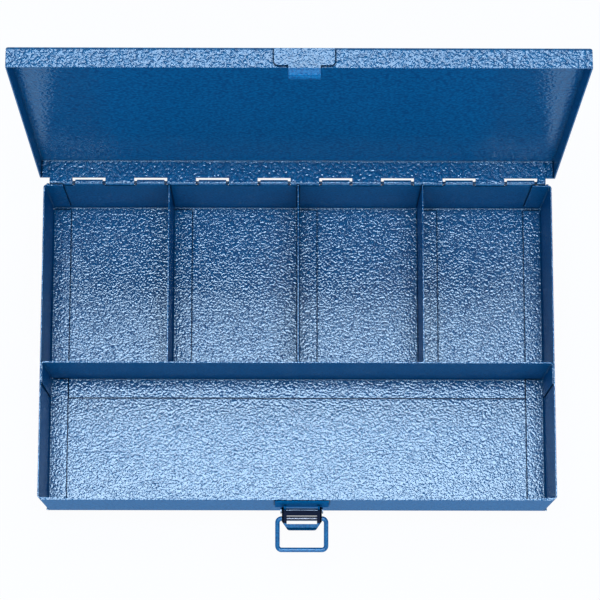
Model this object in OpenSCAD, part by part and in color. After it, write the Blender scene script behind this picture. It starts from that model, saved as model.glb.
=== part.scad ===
// Steel compartment box: a folded sheet-metal base with one long partition and
// three short dividers, a folded lid on a rolled wire hinge, and a draw latch
// with a wire bail. Drawn with the lid open, as it stands on a bench.
// X runs along the hinge, Y from front to back, Z up.
// The origin is the middle of the base's underside.

/* [Box] */
// Width of the base, outside
box_w = 330; // [240:1:480]
// Depth of the base, outside
box_d = 206; // [150:1:300]
// Height of the base, from the underside to the rim
box_h = 66; // [50:1:110]
// Thickness of the folded sheet
sheet_t = 0.8; // [0.6:0.1:1.2]
// Inside radius of every fold
fold_r = 1.2; // [0.8:0.1:2]
// Width of the flanges that fix the end walls
end_flange_w = 12.5; // [8:0.5:20]

/* [Compartments] */
// Back face of the long partition, from the front of the box
partition_place = 88.9; // [60:0.5:130]
// Width of the long partition's foot and of its end flanges
partition_foot_w = 13.8; // [8:0.2:18]
// Left face of the left divider, from the middle of the box
divider_left_place = -83.9; // [-110:0.5:-50]
// Left face of the middle divider, from the middle of the box
divider_mid_place = 0; // [-20:0.5:20]
// Left face of the right divider, from the middle of the box
divider_right_place = 80.8; // [50:0.5:110]
// Width of each divider's foot
divider_foot_w = 13; // [8:0.2:18]
// How far the partitions stand below the rim
rim_drop = 0.3; // [0:0.1:5]

/* [Hinge] */
// Diameter of the hinge wire
wire_d = 2; // [1.6:0.1:3]
// How far the hinge row stops short of each end of the box
hinge_inset = 3.8; // [2.5:0.1:12]
// Distance from one knuckle of the back wall to the next
knuckle_pitch = 40.1; // [36:0.1:60]
// Width of the lid tab between two knuckles
lid_tab_w = 18.7; // [12:0.1:24]
// Free play at each side of a knuckle
side_play = 1.8; // [0.8:0.1:3]
// Width of the lid's first tab, at the left end of the hinge
end_tab_w = 14.9; // [8:0.1:20]
// Least width of the lid's last tab
last_tab_w = 5; // [3:0.5:10]

/* [Lid] */
// How far the lid stands out past the base at the front and the ends
lid_overhang = 2.5; // [1.5:0.1:4]
// Height of the lid's flanges, from the top of the lid
lid_flange_h = 12.6; // [8:0.1:13.5]
// Height of the lid's top above the hinge wire, when closed
lid_rise = 15.4; // [14.2:0.1:20]
// How far the lid is open as drawn, in degrees
lid_open = 94; // [0:1:100]

/* [Keeper] */
// Width of the keeper's head
keeper_w = 34.8; // [28:0.2:44]
// Height of the keeper's head
keeper_h = 10.2; // [8:0.1:11]
// Width of the keeper's hook
hook_w = 18.5; // [12:0.1:22]
// How far the hook reaches below the lid's flange
hook_reach = 8.2; // [6:0.1:10]
// Thickness of the keeper and of the latch's pressed parts
plate_t = 1.2; // [0.8:0.1:1.6]

/* [Latch] */
// Middle of the latch, to the right of the middle of the box
latch_x = 3; // [-20:0.5:20]
// Width of the latch plate
latch_w = 34.4; // [28:0.2:44]
// Height of the latch plate
latch_h = 32; // [24:0.5:40]
// Diameter of the bail's wire
bail_wire_d = 3; // [2:0.1:3.2]
// Width of the bail, outside
bail_w = 34.2; // [32:0.2:44]
// Length of the bail, from bar to bar
bail_len = 20; // [16:0.1:28]
// How far the bail droops below level as drawn, in degrees
bail_droop = 8; // [0:1:30]
// Width of the lever, outside its cheeks
lever_w = 25.6; // [20:0.2:27]
// Length of the lever, from its pin to the end of its lip
lever_len = 12.6; // [12:0.1:20]
// Diameter of the lever's pin
pin_d = 2.6; // [2:0.1:3]
// Distance from the lever's pin to the bail's bar
crank_r = 5.2; // [5:0.1:7]

/* [Hidden] */
$fn = 48;

blue = [0.05, 0.29, 0.52];
dark_steel = [0.25, 0.26, 0.3];
bright_steel = [0.78, 0.78, 0.8];

// Cuts run this far past the faces that they open
over = 1;
// Free play between pieces that lie side by side
gap = 0.3;
// Space between the partition's foot and the end walls' flanges
foot_gap = 0.9;
// Radial play of a wire or pin in the hole that it turns in
play = 0.05;
// Shares of the pressed plate's thickness
corner_share = 2;
bar_offset_share = 0.75;
boss_share = 0.65;
lip_place_share = 1.4;
rim_share = 2.6;
head_share = 0.6;
// Height of the hook's lip as a share of its reach
hook_lip_share = 0.63;
// Width of the lever's tip as a share of its width
tip_share = 0.69;
// Radius of the tip's corners as a share of the lever's length
tip_r_share = 0.16;
// Radius of the pin's heads as a share of the ears' end radius
head_r_share = 0.8;

front_y = -box_d / 2;
back_y = box_d / 2;
fold_out = fold_r + sheet_t;
// What a flange leaves free beside an inside fold
fold_free = fold_out + gap;
inner_back_y = back_y - sheet_t;

// Hinge: the wall's inner face runs on into the outside of the roll
wire_r = wire_d / 2;
roll_in = wire_r + play;
roll_out = roll_in + sheet_t;
axis_y = inner_back_y + roll_out;
axis_z = box_h - roll_out;
hinge_half = box_w / 2 - hinge_inset;
// A slot of the lid is what two tabs leave, and a knuckle stands in it
slot_w = knuckle_pitch - lid_tab_w;
knuckle_w = slot_w - 2 * side_play;
// The slots' edge clears the rolls by half of the play at the knuckles' sides
slot_edge = roll_out + side_play / 2;
// As many slots as fit between the first tab and the last
row_free = 2 * hinge_half - end_tab_w - last_tab_w - slot_w;
last_slot = floor(row_free / knuckle_pitch);
// The wall stands this far above the notches that the lid's rolls turn in
notch_depth = sqrt(sheet_t * (2 * roll_out - sheet_t)) + gap;

// Lid, drawn closed and then swung open about the wire
lid_w = box_w + 2 * lid_overhang;
lid_front_y = front_y - lid_overhang;
lid_top_z = axis_z + lid_rise;
lid_edge_z = lid_top_z - lid_flange_h;

// Keeper: head, neck and a hook that the bail's bar lies in
keeper_y = lid_front_y;
hook_gap = bail_wire_d + gap;
hook_r_in = hook_gap / 2;
hook_r_out = hook_r_in + plate_t;
hook_y = keeper_y - plate_t - hook_r_in;
hook_bottom_z = lid_edge_z - hook_reach;
hook_z = hook_bottom_z + hook_r_out;
hook_lip_h = hook_reach * hook_lip_share;
keeper_corner_r = plate_t * corner_share;

// Latch closed: the bar lies nearer the wall than the pin, so that the pull of
// the bail keeps the lever shut
ear_r = pin_d / 2 + plate_t;
bail_r = bail_wire_d / 2;
bar_offset = plate_t * bar_offset_share;
bar_boss_r = bail_r + plate_t * boss_share;
pin_y = front_y - plate_t - gap - bar_offset - bar_boss_r;
bail_tilt = asin((pin_y + bar_offset - hook_y) / bail_len);
bar_drop = sqrt(crank_r * crank_r - bar_offset * bar_offset);
pin_z = hook_z - bail_len * cos(bail_tilt) + bar_drop;
// As drawn, a quarter turn from closed, the lever stands level
bar_y = pin_y - bar_drop;
bar_z = pin_z - bar_offset;
cheek_t = plate_t;
ear_gap = gap / 2;
cheek_x = lever_w / 2 - cheek_t;
ear_x = cheek_x - ear_gap - plate_t;
web_in = ear_r + gap;
web_out = web_in + plate_t;
// Along the lever: end of the web, start of the taper and of the lip
web_end = crank_r - bail_r;
taper_start = bar_drop + bar_boss_r;
lip_start = taper_start + plate_t * lip_place_share;
lever_rim_w = plate_t * rim_share;
lever_tip_w = lever_w * tip_share;
tip_r = lever_len * tip_r_share;
bail_half_w = (bail_w - bail_wire_d) / 2;
// The bail's bends start just outside the cheeks
bail_bend_r = bail_half_w - lever_w / 2 - ear_gap;
pin_head_h = plate_t * head_share;
pin_head_r = ear_r * head_r_share;

// Flat L section: one leg up +Y, one leg along +X, folded at the origin's
// corner, where its outside lies
module angle_section(leg_x, leg_y) {
    translate([fold_out, 0]) square([leg_x - fold_out, sheet_t]);
    translate([0, fold_out]) square([sheet_t, leg_y - fold_out]);
    translate([fold_out, fold_out]) fold_section();
}

// Quarter of a ring, the section of one fold, in the lower left quarter
module fold_section() {
    intersection() {
        difference() {
            circle(fold_out);
            circle(fold_r);
        }
        translate([-fold_out, -fold_out]) square(fold_out);
    }
}

// Section swept along X: the drawing's x runs along Y and its y along Z
module along_x(x0, x1) {
    translate([x0, 0, 0]) rotate([90, 0, 90]) linear_extrude(x1 - x0) children();
}

// Section swept along Y: the drawing's x runs along X and its y along Z
module along_y(y0, y1) {
    translate([0, y1, 0]) rotate([90, 0, 0]) linear_extrude(y1 - y0) children();
}

// Cuboid given by two corners
module block(low, high) {
    translate(low) cube(high - low);
}

// Floor, front wall and back wall, folded from one sheet
module channel_section() {
    translate([front_y, 0]) angle_section(box_d / 2, box_h);
    translate([back_y, 0]) mirror([1, 0]) angle_section(box_d / 2, axis_z);
}

// Ends of the hinge row's slots and of the lid's tabs between them
function slot_x(i) = end_tab_w - hinge_half + i * knuckle_pitch;
function tab_x0(i) = i == 0 ? -hinge_half : slot_x(i - 1) + slot_w;
function tab_x1(i) = i > last_slot ? hinge_half : slot_x(i);

// Section of a roll, three quarters of the way round the wire, for a sheet
// that comes from above along its left side
module roll_section() {
    difference() {
        circle(roll_out);
        circle(roll_in);
        mirror([1, 0]) square(2 * roll_out);
    }
}

module base_knuckle(x) {
    along_x(x, x + knuckle_w)
        translate([axis_y, axis_z]) mirror([0, 1]) roll_section();
}

module base_shell() {
    color(blue) difference() {
        union() {
            along_x(-box_w / 2, box_w / 2) channel_section();
            for (i = [0 : last_slot]) base_knuckle(slot_x(i) + side_play);
            // The wall stands up to the rim past both ends of the hinge
            for (s = [0, 1]) mirror([s, 0, 0])
                block([hinge_half + gap, inner_back_y, axis_z - over],
                      [box_w / 2, back_y, box_h]);
        }
        // Corners of the walls, where the end walls' folds show
        for (x = [-box_w / 2, box_w / 2 - fold_out])
            block([x - (x < 0 ? over : 0), front_y - over, fold_out],
                  [x + fold_out + (x < 0 ? 0 : over), back_y + over, box_h + over]);
        // Notches for the lid's tabs
        hinge_notches();
    }
}

// Notches in the back wall, one for each tab of the lid
module hinge_notches() {
    for (i = [0 : last_slot + 1])
        block([tab_x0(i) - gap, inner_back_y - over, axis_z - notch_depth],
              [tab_x1(i) + gap, axis_y, box_h + over]);
}

// End wall with a flange on the floor and one on the front and back walls
module end_wall() {
    wall_x = box_w / 2;
    top_z = box_h;
    low_z = fold_out + sheet_t;
    color(blue) {
        // Wall and its front and back flanges
        for (s = [-1, 1]) scale([1, s, 1]) end_flange(low_z + fold_free, top_z);
        block([wall_x - sheet_t, front_y + sheet_t + fold_out, low_z],
              [wall_x, back_y - sheet_t - fold_out, top_z]);
        // Flange on the floor
        along_y(front_y + sheet_t + fold_free, back_y - sheet_t - fold_free)
            translate([wall_x, sheet_t]) mirror([1, 0])
                angle_section(end_flange_w, fold_out + sheet_t);
    }
}

// One upright flange of an end wall, folded on to the front wall
module end_flange(z0, z1) {
    translate([0, 0, z0]) linear_extrude(z1 - z0)
        translate([box_w / 2, front_y + sheet_t]) mirror([1, 0])
            angle_section(end_flange_w, fold_out + over);
}

module left_end_wall() {
    mirror([1, 0, 0]) end_wall();
}

module right_end_wall() {
    end_wall();
}

// Long partition: wall, foot towards the front, and a flange on each end wall
module long_partition() {
    back = front_y + partition_place;
    half_in = box_w / 2 - sheet_t;
    foot_half = box_w / 2 - end_flange_w - foot_gap;
    top_z = box_h - rim_drop;
    low_z = sheet_t * 2 + gap;
    color(blue) {
        along_x(-foot_half, foot_half)
            translate([back, sheet_t]) mirror([1, 0])
                angle_section(partition_foot_w, top_z - sheet_t);
        for (s = [0, 1]) mirror([s, 0, 0]) {
            block([foot_half - over, back - sheet_t, low_z],
                  [half_in - fold_out, back, top_z]);
            translate([0, 0, low_z + fold_out]) linear_extrude(top_z - low_z - fold_out)
                translate([half_in, back]) rotate(180)
                    angle_section(fold_out + over, partition_foot_w);
        }
    }
}

// Short divider with its foot on the right
module divider(place) {
    y0 = front_y + partition_place;
    top_z = box_h - rim_drop;
    color(blue) difference() {
        along_y(y0, inner_back_y)
            translate([place, sheet_t])
                angle_section(divider_foot_w, top_z - sheet_t);
        // The foot and the wall's lower corner clear the fold of the back wall
        block([place - over, inner_back_y - fold_free, 0],
              [place + divider_foot_w + over, back_y, sheet_t + fold_free]);
    }
}

module left_divider() {
    divider(divider_left_place);
}

module middle_divider() {
    divider(divider_mid_place);
}

module right_divider() {
    divider(divider_right_place);
}

// Section of the lid with round upper corners, between two sides
module pan_section(low, high, top, r) {
    difference() {
        translate([low, lid_edge_z - over]) square([high - low, top - lid_edge_z + over]);
        for (x = [low, high]) {
            s = x == low ? 1 : -1;
            difference() {
                translate([x - (s < 0 ? r : 0), top - r]) square(r);
                translate([x + s * r, top - r]) circle(r);
            }
        }
    }
}

// Solid of the lid's outline, all four upper edges rounded
module pan(inset, r) {
    top = lid_top_z - inset;
    intersection() {
        along_y(lid_front_y + inset, back_y - inset)
            pan_section(-lid_w / 2 + inset, lid_w / 2 - inset, top, r);
        along_x(-lid_w / 2 + inset, lid_w / 2 - inset)
            pan_section(lid_front_y + inset, back_y - inset, top, r);
    }
}

// Swings what is drawn closed to where the open lid stands
module lid_pose() {
    translate([0, axis_y, axis_z]) rotate([-lid_open, 0, 0])
        translate([0, -axis_y, -axis_z]) children();
}

module lid_shell() {
    tab_z = max(lid_edge_z, axis_z + slot_edge);
    seam_x = hinge_half + gap;
    color(blue) lid_pose() {
        difference() {
            pan(0, fold_out);
            pan(sheet_t, fold_r);
            // Lower edge of the front and end flanges
            block([-lid_w, lid_front_y - over, lid_edge_z - 2 * over],
                  [lid_w, inner_back_y - gap, lid_edge_z]);
            // Lower edge of the back flange
            block([-lid_w, inner_back_y - 2 * gap, lid_edge_z - 2 * over],
                  [lid_w, back_y + over, tab_z]);
            // Seams inside, where the end flanges' tabs meet the back flange
            for (s = [0, 1]) mirror([s, 0, 0])
                block([seam_x, inner_back_y - gap, tab_z - over],
                      [seam_x + gap, inner_back_y + sheet_t / 2,
                       lid_top_z - fold_out]);
        }
        for (i = [0 : last_slot + 1]) lid_tab(tab_x0(i), tab_x1(i), tab_z);
    }
}

// Tab of the lid's back flange, rolled round the wire from the front
module lid_tab(x0, x1, z) {
    block([x0, inner_back_y, axis_z], [x1, back_y, z]);
    along_x(x0, x1) translate([axis_y, axis_z]) roll_section();
}

module lid_keeper() {
    head_z = lid_edge_z + lid_flange_h - fold_out + sheet_t;
    color(blue) lid_pose() translate([latch_x, 0, 0]) {
        // Head, with round lower corners
        translate([0, keeper_y, 0]) rotate([90, 0, 0]) linear_extrude(plate_t)
            keeper_head(head_z);
        // Neck and hook
        along_x(-hook_w / 2, hook_w / 2) hook_section(head_z - keeper_h + over);
        // The lip's corners are round
        intersection() {
            along_x(-hook_w / 2, hook_w / 2)
                translate([hook_y - hook_r_out, hook_z])
                    square([plate_t, hook_bottom_z + hook_lip_h - hook_z]);
            translate([0, hook_y, 0]) rotate([90, 0, 0]) linear_extrude(hook_r_out + over)
                lip_outline();
        }
    }
}

module keeper_head(top_z) {
    low_z = top_z - keeper_h;
    r = keeper_corner_r;
    translate([-keeper_w / 2, low_z + r]) square([keeper_w, keeper_h - r]);
    translate([-keeper_w / 2 + r, low_z]) square([keeper_w - 2 * r, r]);
    for (s = [-1, 1]) translate([s * (keeper_w / 2 - r), low_z + r]) circle(r);
}

// Hook in section: neck, half round, seen from the end of the box
module hook_section(neck_top_z) {
    translate([keeper_y - plate_t, hook_z]) square([plate_t, neck_top_z - hook_z]);
    translate([hook_y, hook_z]) difference() {
        circle(hook_r_out);
        circle(hook_r_in);
        translate([-hook_r_out, 0]) square(2 * hook_r_out);
    }
}

module lip_outline() {
    top_z = hook_bottom_z + hook_lip_h;
    r = keeper_corner_r;
    translate([-hook_w / 2, hook_bottom_z]) square([hook_w, hook_lip_h - r]);
    translate([-hook_w / 2 + r, hook_bottom_z]) square([hook_w - 2 * r, hook_lip_h]);
    for (s = [-1, 1]) translate([s * (hook_w / 2 - r), top_z - r]) circle(r);
}

module hinge_wire() {
    color(dark_steel)
        translate([-hinge_half, axis_y, axis_z]) rotate([0, 90, 0])
            cylinder(h = 2 * hinge_half, r = wire_r);
}

// Latch plate on the front wall, with two ears for the lever's pin
module latch_plate() {
    top_z = box_h - sheet_t;
    r = keeper_corner_r;
    color(blue) translate([latch_x, 0, 0]) {
        translate([0, front_y, 0]) rotate([90, 0, 0]) linear_extrude(plate_t) {
            translate([-latch_w / 2, top_z - latch_h + r]) square([latch_w, latch_h - r]);
            translate([-latch_w / 2 + r, top_z - latch_h]) square([latch_w - 2 * r, r]);
            for (s = [-1, 1])
                translate([s * (latch_w / 2 - r), top_z - latch_h + r]) circle(r);
        }
        for (x = [-ear_x - plate_t, ear_x]) along_x(x, x + plate_t) ear_section();
    }
}

module ear_section() {
    difference() {
        union() {
            translate([pin_y, pin_z - ear_r])
                square([front_y - plate_t - pin_y, 2 * ear_r]);
            translate([pin_y, pin_z]) circle(ear_r);
        }
        translate([pin_y, pin_z]) circle(pin_d / 2);
    }
}

// Rivet through the ears and the lever's cheeks
module lever_pin() {
    half = lever_w / 2 + ear_gap;
    color(dark_steel) translate([latch_x, pin_y, pin_z]) rotate([0, 90, 0]) {
        translate([0, 0, -half]) cylinder(h = 2 * half, r = pin_d / 2);
        for (s = [-1, 1])
            translate([0, 0, s > 0 ? half : -half - pin_head_h])
                cylinder(h = pin_head_h, r = pin_head_r);
    }
}

// Lever, level: a pressed sheet with a window, its cheeks and a finger lip.
// In its section the pin is the origin and the lever points along -X.
module latch_lever() {
    color(blue) translate([latch_x, pin_y, pin_z]) difference() {
        union() {
            for (x = [-lever_w / 2, cheek_x])
                along_x(x, x + cheek_t) cheek_section();
            intersection() {
                along_x(-lever_w / 2, lever_w / 2) sheet_section();
                linear_extrude(2 * web_out) lever_plan();
            }
        }
        // Window that shows the bail's bar
        block([-lever_w / 2 + lever_rim_w, -lip_start, 0],
              [lever_w / 2 - lever_rim_w, -web_end, 2 * web_out]);
        // The sheet folds down into the cheeks
        for (s = [0, 1]) mirror([s, 0, 0])
            along_y(-lever_len, ear_r + over)
                translate([lever_w / 2 - plate_t, web_out - plate_t]) difference() {
                    square(2 * plate_t);
                    circle(plate_t);
                }
    }
}

module cheek_section() {
    difference() {
        union() {
            circle(ear_r);
            translate([-bar_drop, -bar_offset]) circle(bar_boss_r);
            polygon([[0, -ear_r], [0, web_out], [-taper_start, web_out],
                     [-taper_start, -bar_offset],
                     [-bar_drop, -bar_offset - bar_boss_r]]);
        }
        circle(pin_d / 2 + play);
        translate([-bar_drop, -bar_offset]) circle(bail_r + play);
    }
}

// The sheet runs from over the pin to the lip, which turns up at its end
module sheet_section() {
    rise = plate_t;
    polygon([[-gap, web_in], [-gap, web_out], [-lever_len + rise, web_out],
             [-lever_len, web_out + rise], [-lever_len - rise / 2, web_out],
             [-lever_len + rise, web_in]]);
}

// Outline of the lever from above, narrower towards its round-cornered tip
module lever_plan() {
    half = lever_w / 2;
    tip = lever_len + plate_t / 2;
    tip_half = lever_tip_w / 2;
    taper = atan((half - tip_half) / (tip - taper_start));
    // From the sharp corner to where the round one touches both edges
    t = tip_r * tan((90 - taper) / 2);
    side = [tip_half + t * sin(taper), t * cos(taper) - tip];
    translate([-half, -taper_start]) square([lever_w, taper_start]);
    polygon([[-half, -taper_start], [-side.x, side.y], [t - tip_half, -tip],
             [tip_half - t, -tip], side, [half, -taper_start]]);
    for (s = [-1, 1]) translate([s * (tip_half - t), tip_r - tip]) circle(tip_r);
}

// Closed ring of round wire; its near bar turns in the lever's cheeks
module latch_bail() {
    color(blue) translate([latch_x, bar_y, bar_z]) rotate([bail_droop, 0, 0]) {
        straight_x = bail_half_w - bail_bend_r;
        for (y = [0, -bail_len])
            translate([-straight_x, y, 0]) rotate([0, 90, 0])
                cylinder(h = 2 * straight_x, r = bail_r);
        for (x = [-bail_half_w, bail_half_w])
            translate([x, -bail_bend_r, 0]) rotate([90, 0, 0])
                cylinder(h = bail_len - 2 * bail_bend_r, r = bail_r);
        for (sx = [0, 1], sy = [0, 1])
            mirror([sx, 0, 0]) translate([0, -bail_len / 2, 0]) mirror([0, sy, 0])
                translate([straight_x, bail_len / 2 - bail_bend_r, 0]) bail_corner();
    }
}

module bail_corner() {
    rotate_extrude(angle = 90) translate([bail_bend_r, 0]) circle(bail_r);
}

base_shell();
left_end_wall();
right_end_wall();
long_partition();
left_divider();
middle_divider();
right_divider();
lid_shell();
lid_keeper();
hinge_wire();
latch_plate();
lever_pin();
latch_lever();
latch_bail();
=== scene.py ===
# %% [markdown]
# # A steel compartment box, dressed for a studio picture
# The box is folded from thin steel sheet: a shallow base with one long
# partition and short dividers behind it, a lid on a rolled wire hinge, and a
# draw latch on the front. Its shapes come ready made from the drawing, in
# metres, with +Z up. This lesson gives them their finishes, the light and the
# camera. We load the model first.

import bpy
import numpy as np
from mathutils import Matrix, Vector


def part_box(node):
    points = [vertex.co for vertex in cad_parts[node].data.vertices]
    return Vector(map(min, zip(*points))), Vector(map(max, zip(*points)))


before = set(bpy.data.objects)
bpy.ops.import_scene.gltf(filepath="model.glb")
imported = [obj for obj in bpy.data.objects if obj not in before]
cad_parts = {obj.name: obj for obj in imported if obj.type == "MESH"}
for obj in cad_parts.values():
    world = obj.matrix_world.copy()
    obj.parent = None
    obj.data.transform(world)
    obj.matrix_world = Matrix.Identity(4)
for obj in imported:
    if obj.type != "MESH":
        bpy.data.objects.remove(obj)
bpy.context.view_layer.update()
print("nodes:", sorted(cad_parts))

MM = 0.001

# %% [markdown]
# ## Helpers
# Colours are easiest to read off a picture as sRGB hex values, but Blender's
# shader sockets want linear light, so one function turns one into the other.
# A second small function adds a shader node, sets its values and links its
# inputs in one call. It keeps each material below readable as a list of steps.


# %% Colour and node helpers
def linear(code):
    """Linear RGBA of an sRGB hex colour.

    A value v becomes v / 12.92 when dark, ((v + 0.055) / 1.055) ** 2.4 otherwise.
    """
    srgb = np.array([int(code[i : i + 2], 16) for i in (0, 2, 4)]) / 255
    rgb = np.where(srgb <= 0.04045, srgb / 12.92, ((srgb + 0.055) / 1.055) ** 2.4)
    return (*rgb.tolist(), 1.0)


def add(tree, kind, settings=None, **inputs):
    """Adds a node with its settings and inputs.

    An input is a value, an output socket, or a node that stands for its first
    output. Its name has _ for each space, or it is _ and the input's number.
    """
    node = tree.nodes.new(kind)
    for name, value in (settings or {}).items():
        setattr(node, name, value)
    for name, value in inputs.items():
        socket = node.inputs[int(name[1:]) if name[1:].isdigit() else name.replace("_", " ")]
        if isinstance(value, bpy.types.Node):
            value = value.outputs[0]
        if isinstance(value, bpy.types.NodeSocket):
            tree.links.new(value, socket)
        else:
            socket.default_value = value
    return node


def new_material(name):
    """An empty node material and its tree."""
    material = bpy.data.materials.new(name)
    material.use_nodes = True
    material.node_tree.nodes.clear()
    return material, material.node_tree


def wear(material, *nodes):
    """Gives a finish to every material slot of the named nodes."""
    for name in nodes:
        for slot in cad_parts[name].material_slots:
            slot.material = material
    print(material.name, "on", len(nodes), "nodes")


# %% [markdown]
# ## Camera
# The picture was taken from high above the front of the box, about ten degrees
# off straight down, from far enough that the walls hardly converge. We could
# turn the camera by eye; here its place, turn and focal length come from a
# least-squares fit of the box's corners, edges and folds to where they lie in
# the picture. The lens is long, and needs no shift.

# %% Camera
camera_data = bpy.data.cameras.new("camera")
camera_data.sensor_width = 36
camera_data.lens = 149.89
camera = bpy.data.objects.new("camera", camera_data)
camera.location = (-0.0063, -0.27436, 1.64636)
camera.rotation_euler = (0.187878, -0.005198, 0.001044)
bpy.context.scene.collection.objects.link(camera)
bpy.context.scene.camera = camera
print("camera height, mm:", round(camera.location.z / MM))

# %% [markdown]
# ## Islands of the hammertone
# The box is sprayed with hammertone enamel, a glossy paint with aluminium
# flakes. As it dries it draws up into small islands, a little over a
# millimetre across, with narrow dimples between, and that hides the marks of
# the press. Bumps could be modelled, but they are far finer than the sheet is
# long, so a bump texture makes them: smooth cells, bent by noise so that no
# straight borders show.
#
# Faces that look up, down or back are marked like this. On the faces that look
# forward or sideways the paint ran while it was wet, and left them smooth.

# %% Islands of the hammertone
ISLAND = 1.3 * MM
RELIEF = 0.095 * MM
# The nook blue is painted shade, for the nooks where one sheet meets another
DARK_BLUE, LIGHT_BLUE, NOOK_SHADE_BLUE = "045e96", "0a82bc", "02304f"


def island_height(tree, place, size):
    """Height of the islands: mounds round the cells' centres plus rolling noise, each 0 to 1."""
    drift = add(tree, "ShaderNodeTexNoise", Vector=place, Scale=0.6 / size, Detail=1.0, Roughness=0.5)
    centred = add(tree, "ShaderNodeVectorMath", {"operation": "SUBTRACT"},
                  _0=drift.outputs["Color"], _1=(0.5, 0.5, 0.5))
    moved = add(tree, "ShaderNodeVectorMath", {"operation": "MULTIPLY_ADD"},
                _0=centred, _1=(1.2 * size,) * 3, _2=place)
    cells = add(tree, "ShaderNodeTexVoronoi", {"feature": "SMOOTH_F1"}, Vector=moved,
                Scale=1 / size, Smoothness=1.0)
    mounds = add(tree, "ShaderNodeMapRange", {"interpolation_type": "SMOOTHSTEP"},
                 Value=cells.outputs["Distance"], From_Min=0.0, From_Max=0.8, To_Min=1.0, To_Max=0.0)
    rolling = add(tree, "ShaderNodeTexNoise", Vector=place, Scale=1.1 / size, Detail=1.0, Roughness=0.5)
    return add(tree, "ShaderNodeMath", {"operation": "ADD"}, _0=mounds, _1=rolling)


def island_colour(tree, height, dark, light):
    """Colour of the paint: flakes gather on the islands, so they are lighter than the dimples."""
    tone = add(tree, "ShaderNodeMapRange", Value=height, From_Min=0.5, From_Max=1.4)
    return add(tree, "ShaderNodeMix", {"data_type": "RGBA"}, Factor=tone,
               _6=linear(dark), _7=linear(light)).outputs[2]


def marked_faces(tree, normal):
    """1 where the object's own normal looks up, down or back, 0 where forward or sideways."""
    parts = add(tree, "ShaderNodeSeparateXYZ", _0=normal).outputs
    upright = add(tree, "ShaderNodeMath", {"operation": "ABSOLUTE"}, _0=parts[2])
    most = add(tree, "ShaderNodeMath", {"operation": "MAXIMUM"}, _0=upright, _1=parts[1])
    return add(tree, "ShaderNodeMapRange", {"interpolation_type": "SMOOTHSTEP"},
               Value=most, From_Min=0.2, From_Max=0.8)


print("islands, mm:", round(ISLAND / MM, 2), "relief, mm:", round(RELIEF / MM, 3))

# %% [markdown]
# ## Hammertone enamel
# The flakes mirror more light than clear varnish does, so the coat that stands
# for them has a high index of refraction, and the islands glitter under it.
# The smooth faces keep little of this coat and look satin. Paint also rounds
# the edges of the sheet, which a Bevel node adds to the shading. Where one
# sheet meets another an Ambient Occlusion node finds the nook, and there the
# colour is painted dark and the coat thinned, as painted shade. The marked
# faces are painted a quarter darker, also painted shade, so that the floors
# under the overhead softbox don't read too light. The lid has the broadest
# islands, and its inside is partly marked towards both ends.

# %% Hammertone enamel
# What marked faces keep of the colour under their painted shade, and smooth faces of the relief
MARKED_SHADED_COLOUR_SHARE = 0.75
SMOOTH_RELIEF_SHARE = 0.2
# How marked the ends of the lid are, and over what width that grows
END_SHARE = 0.4
END_BAND = 20 * MM
# How far the painted shade of the nooks reaches from where sheets meet
NOOK_SHADE_REACH = 1.5 * MM
PAINTED_EDGE_RADIUS = 0.3 * MM


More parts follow.
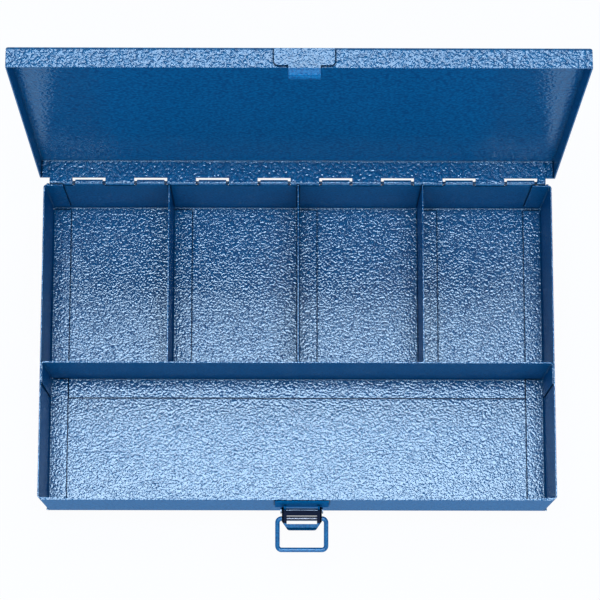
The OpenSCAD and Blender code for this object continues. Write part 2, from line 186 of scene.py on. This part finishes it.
def enamel(name, size=ISLAND, relief=RELIEF, smooth_before=-1.0, sheen=0.1, marked_ends=None):
    """Hammertone paint.

    Faces with an Object Y below smooth_before have run smooth like the upright
    ones, whose clear layer has the weight sheen. Beyond marked_ends from the
    middle the upright faces are partly marked, as on the inside of the lid.
    """
    material, tree = new_material(name)
    coordinates = add(tree, "ShaderNodeTexCoord").outputs
    across = add(tree, "ShaderNodeSeparateXYZ", _0=coordinates["Object"]).outputs
    behind = add(tree, "ShaderNodeMath", {"operation": "GREATER_THAN"}, _0=across[1], _1=smooth_before)
    marked = add(tree, "ShaderNodeMath", {"operation": "MULTIPLY"},
                 _0=marked_faces(tree, coordinates["Normal"]), _1=behind)
    if marked_ends:
        outward = add(tree, "ShaderNodeMath", {"operation": "ABSOLUTE"}, _0=across[0])
        ends = add(tree, "ShaderNodeMapRange", {"interpolation_type": "SMOOTHSTEP"}, Value=outward,
                   From_Min=marked_ends, From_Max=marked_ends + END_BAND, To_Max=END_SHARE)
        marked = add(tree, "ShaderNodeMath", {"operation": "MAXIMUM"}, _0=marked, _1=ends)
    height = island_height(tree, coordinates["Object"], size)
    # Painted shade: in the nooks the colour turns to the nook blue and the coat thins
    nook_shade = add(tree, "ShaderNodeAmbientOcclusion", {"samples": 8}, Distance=NOOK_SHADE_REACH)
    unshaded = add(tree, "ShaderNodeMapRange", Value=nook_shade.outputs["AO"], From_Min=0.72, From_Max=0.97)
    colour = add(tree, "ShaderNodeMix", {"data_type": "RGBA"}, Factor=unshaded, _6=linear(NOOK_SHADE_BLUE),
                 _7=island_colour(tree, height, DARK_BLUE, LIGHT_BLUE)).outputs[2]
    # Painted shade: marked faces are darkened, the lid's ends in part
    marked_shade = add(tree, "ShaderNodeMapRange", Value=marked, To_Min=1.0, To_Max=MARKED_SHADED_COLOUR_SHARE)
    colour = add(tree, "ShaderNodeVectorMath", {"operation": "SCALE"}, _0=colour, Scale=marked_shade)
    coat = add(tree, "ShaderNodeMapRange", Value=marked, To_Min=sheen, To_Max=1.0)
    coat = add(tree, "ShaderNodeMath", {"operation": "MULTIPLY"}, _0=coat, _1=unshaded)
    edge = add(tree, "ShaderNodeBevel", {"samples": 4}, Radius=PAINTED_EDGE_RADIUS)
    depth = add(tree, "ShaderNodeMapRange", Value=marked,
                To_Min=SMOOTH_RELIEF_SHARE * relief, To_Max=relief)
    bump = add(tree, "ShaderNodeBump", Height=height, Strength=1.0, Distance=depth, Normal=edge)
    body = add(tree, "ShaderNodeBsdfPrincipled", Base_Color=colour, Metallic=0.1, Roughness=0.5,
               IOR=1.5, Specular_IOR_Level=sheen, Normal=bump,
               Coat_Weight=coat, Coat_Roughness=0.03, Coat_IOR=1.8, Coat_Normal=bump)
    add(tree, "ShaderNodeOutputMaterial", Surface=body)
    return material


wear(enamel("hammertone_enamel"), "base_shell", "left_end_wall", "right_end_wall", "long_partition",
     "left_divider", "middle_divider", "right_divider", "hinge_wire")
wear(enamel("lid_hammertone_enamel", size=1.8 * MM, relief=0.2 * MM, marked_ends=110 * MM), "lid_shell")
# The keeper's hook and neck reach this far in front of its head
HOOK_REACH = 7.6 * MM
keeper_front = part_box("lid_keeper")[0].y
wear(enamel("keeper_enamel", smooth_before=keeper_front + HOOK_REACH), "lid_keeper")
# The plate lies wholly before this Y, 1 m behind the origin, so all of it is smooth
wear(enamel("latch_plate_enamel", smooth_before=1.0, sheen=0.0), "latch_plate")

# %% [markdown]
# ## Plated steel
# The lever's pin is cut from drawn steel wire and plated. Drawing leaves fine
# scratches along the wire, which spread its highlights to a grey sheen. They
# could be modelled as grooves; a stretched noise costs no faces. Real ones
# are too fine to show here, so they are drawn a quarter of a millimetre apart.


# %% Plated steel
def plated_steel(name, colour, roughness):
    """Bare steel with scratches along X: noise stretched forty times in that direction."""
    material, tree = new_material(name)
    place = add(tree, "ShaderNodeTexCoord").outputs["Object"]
    drawn = add(tree, "ShaderNodeMapping", Vector=place, Scale=(100, 4000, 4000))
    grain = add(tree, "ShaderNodeTexNoise", Vector=drawn, Scale=1.0, Detail=3.0)
    rough = add(tree, "ShaderNodeMapRange", Value=grain, To_Min=roughness * 0.7, To_Max=roughness * 1.3)
    bump = add(tree, "ShaderNodeBump", Height=grain, Strength=0.2, Distance=0.02 * MM)
    body = add(tree, "ShaderNodeBsdfPrincipled", Base_Color=linear(colour), Metallic=1.0,
               Roughness=rough, Normal=bump)
    add(tree, "ShaderNodeOutputMaterial", Surface=body)
    return material


wear(plated_steel("plated_pin_steel", "9a9ca4", 0.3), "lever_pin")

# %% [markdown]
# ## Painted latch
# The lever is bare plated steel with paint only on its finger lip, and the
# bail is painted except where its bar turns between the lever's cheeks, so
# dark metal shows between two blue parts. Each could be cut into two pieces;
# one material with a mask is simpler, and the mask is a plain box of Object
# coordinates. The lever's steel is painted near black and its lip at half the
# brightness of the box's enamel, both painted shade.

# %% Painted latch
# Painted shade: the lip's blues are the box's enamel at half its linear brightness
SHADED_LIP_DARK_BLUE, SHADED_LIP_LIGHT_BLUE = "02436d", "075e89"
# Painted shade: the lever's steel is near black, far darker than the pin's
BAR_STEEL, SHADED_LEVER_STEEL = "948c92", "0b0d16"
# Depth of the lever's painted lip, and of the bail's bare bar
LIP_DEPTH, BAR_DEPTH = 4.6 * MM, 3.2 * MM
# Where paint gives way to steel, half the width of the change
PAINT_END = 0.1 * MM
# A metre, well beyond the box, for the open sides of a mask
FAR = 1


def masked(name, low, high, bare, dark, light, coat=1.0):
    """Bare steel inside the box from low to high, enamel with a clear layer of weight coat outside.

    The mask is the least of place - low and high - place, above 0 only inside.
    """
    material, tree = new_material(name)
    place = add(tree, "ShaderNodeTexCoord").outputs["Object"]
    above = add(tree, "ShaderNodeVectorMath", {"operation": "SUBTRACT"}, _0=place, _1=low)
    below = add(tree, "ShaderNodeVectorMath", {"operation": "SUBTRACT"}, _0=high, _1=place)
    inner = add(tree, "ShaderNodeVectorMath", {"operation": "MINIMUM"}, _0=above, _1=below)
    parts = add(tree, "ShaderNodeSeparateXYZ", _0=inner).outputs
    least = add(tree, "ShaderNodeMath", {"operation": "MINIMUM"}, _0=parts[0], _1=parts[1])
    least = add(tree, "ShaderNodeMath", {"operation": "MINIMUM"}, _0=least, _1=parts[2])
    mask = add(tree, "ShaderNodeMapRange", Value=least, From_Min=-PAINT_END, From_Max=PAINT_END)
    height = island_height(tree, place, ISLAND)
    colour = add(tree, "ShaderNodeMix", {"data_type": "RGBA"}, Factor=mask,
                 _6=island_colour(tree, height, dark, light), _7=linear(bare)).outputs[2]
    metal = add(tree, "ShaderNodeMapRange", Value=mask, To_Min=0.15, To_Max=1.0)
    cover = add(tree, "ShaderNodeMapRange", Value=mask, To_Min=coat, To_Max=0.0)
    edge = add(tree, "ShaderNodeBevel", {"samples": 4}, Radius=0.25 * MM)
    bump = add(tree, "ShaderNodeBump", Height=height, Strength=0.35, Distance=0.1 * MM, Normal=edge)
    body = add(tree, "ShaderNodeBsdfPrincipled", Base_Color=colour, Metallic=metal, Roughness=0.3,
               IOR=1.5, Specular_IOR_Level=0.5 * coat, Normal=bump,
               Coat_Weight=cover, Coat_Roughness=0.07, Coat_IOR=1.5, Coat_Normal=edge)
    add(tree, "ShaderNodeOutputMaterial", Surface=body)
    return material


bail_low, bail_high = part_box("latch_bail")
lever_low, lever_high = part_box("latch_lever")
bar_low = (lever_low.x, bail_high.y - BAR_DEPTH, bail_low.z - FAR)
wear(masked("enamelled_bail_wire", bar_low, (lever_high.x, FAR, FAR),
            BAR_STEEL, DARK_BLUE, LIGHT_BLUE), "latch_bail")
web_low = (-FAR, lever_low.y + LIP_DEPTH, -FAR)
wear(masked("shaded_plated_lever_painted_lip", web_low, (FAR, FAR, FAR),
            SHADED_LEVER_STEEL, SHADED_LIP_DARK_BLUE, SHADED_LIP_LIGHT_BLUE, coat=0.1), "latch_lever")

# %% [markdown]
# ## Floor and surroundings
# The box stands on a pale floor against white. A very large white sheet could
# be lit until it is white, but that light would fall on the box too. So the
# floor and the world glow white for the rays that come from the camera, and
# the world gives only a dim, even fill. Mirrored rays see the floor glow in
# the blue of the highlights in the picture, and the dim world above it, which
# keeps the walls and the lid's inside deep.

# %% Floor and surroundings
FLOOR_REACH = 4.0
# The floor glows at this share, and its matt rest keeps the box's shadow
FLOOR_GLOW_SHARE = 0.92
# A little over 1, so that the floor is white in spite of the matt share
FLOOR_GLOW = 1.04
FLOOR_GLOSSY_SHARE = 0.92
WHITE = (1, 1, 1, 1)
GLOW_TINT = (0.45, 0.72, 1.0, 1)
FILL = (0.21, 0.255, 0.3, 1)


def seen_share(tree, glossy):
    """1 for camera and transmission rays, the share glossy for mirrored rays, 0 for the rest."""
    path = add(tree, "ShaderNodeLightPath").outputs
    mirrored = add(tree, "ShaderNodeMath", {"operation": "MULTIPLY"}, _0=path["Is Glossy Ray"], _1=glossy)
    most = add(tree, "ShaderNodeMath", {"operation": "MAXIMUM"}, _0=path["Is Camera Ray"], _1=mirrored)
    return add(tree, "ShaderNodeMath", {"operation": "MAXIMUM"}, _0=most, _1=path["Is Transmission Ray"])


floor_material, tree = new_material("pale_studio_floor")
matt = add(tree, "ShaderNodeBsdfDiffuse", Color=linear("b4c4d8"))
camera_ray = add(tree, "ShaderNodeLightPath").outputs["Is Camera Ray"]
tint = add(tree, "ShaderNodeMix", {"data_type": "RGBA"}, Factor=camera_ray, _6=GLOW_TINT, _7=WHITE)
glow = add(tree, "ShaderNodeEmission", Color=tint.outputs[2], Strength=FLOOR_GLOW)
share = add(tree, "ShaderNodeMath", {"operation": "MULTIPLY"},
            _0=seen_share(tree, FLOOR_GLOSSY_SHARE), _1=FLOOR_GLOW_SHARE)
surface = add(tree, "ShaderNodeMixShader", Fac=share, _1=matt, _2=glow)
add(tree, "ShaderNodeOutputMaterial", Surface=surface)

floor_mesh = bpy.data.meshes.new("floor")
corners = [(x * FLOOR_REACH, y * FLOOR_REACH, 0) for x, y in ((-1, -1), (1, -1), (1, 1), (-1, 1))]
floor_mesh.from_pydata(corners, [], [(0, 1, 2, 3)])
floor_mesh.materials.append(floor_material)
floor = bpy.data.objects.new("floor", floor_mesh)
bpy.context.scene.collection.objects.link(floor)

world = bpy.data.worlds.new("studio")
world.use_nodes = True
tree = world.node_tree
tree.nodes.clear()
level = add(tree, "ShaderNodeMix", {"data_type": "RGBA"}, Factor=seen_share(tree, 0.0),
            _6=FILL, _7=WHITE)
sky = add(tree, "ShaderNodeBackground", Color=level.outputs[2])
add(tree, "ShaderNodeOutputWorld", Surface=sky)
bpy.context.scene.world = world
bpy.context.scene.view_settings.view_transform = "Standard"
print("floor, m across:", 2 * FLOOR_REACH)

# %% [markdown]
# ## Lights
# Two softboxes hang high above the box. Seen from the camera, the floors of
# the compartments mirror the brighter one, which is narrow from front to
# back: its edges make the hammertone sparkle, and further back the floors
# mirror the dark lid instead. The lid's front flange mirrors the second one.
# A wide, weak light in front fills the faces that look forward. All three are
# a little blue, as the highlights in the picture are.

# %% Lights
SOFTBOX_TINT = (0.57, 0.79, 1)


def softbox(name, place, size, radiance, aim=(0, 0, 0.05)):
    """Area light of a given radiance, turned to aim: power = radiance x area x pi."""
    data = bpy.data.lights.new(name, "AREA")
    data.color = SOFTBOX_TINT
    data.shape = "RECTANGLE"
    data.size, data.size_y = size
    data.energy = radiance * size[0] * size[1] * np.pi
    lamp = bpy.data.objects.new(name, data)
    lamp.location = place
    away = lamp.location - type(lamp.location)(aim)
    lamp.rotation_euler = away.to_track_quat("Z", "Y").to_euler()
    bpy.context.scene.collection.objects.link(lamp)
    print(name, "power, W:", round(data.energy, 1))


softbox("overhead_softbox", place=(0, 0.05, 2.4), size=(1.2, 0.5), radiance=11.4)
softbox("back_softbox", place=(0, 0.97, 2.4), size=(1.2, 0.5), radiance=6.5)
softbox("front_fill", place=(0, -1.6, 1.2), size=(1.6, 0.8), radiance=2.8, aim=(0, 0.1, 0.15))
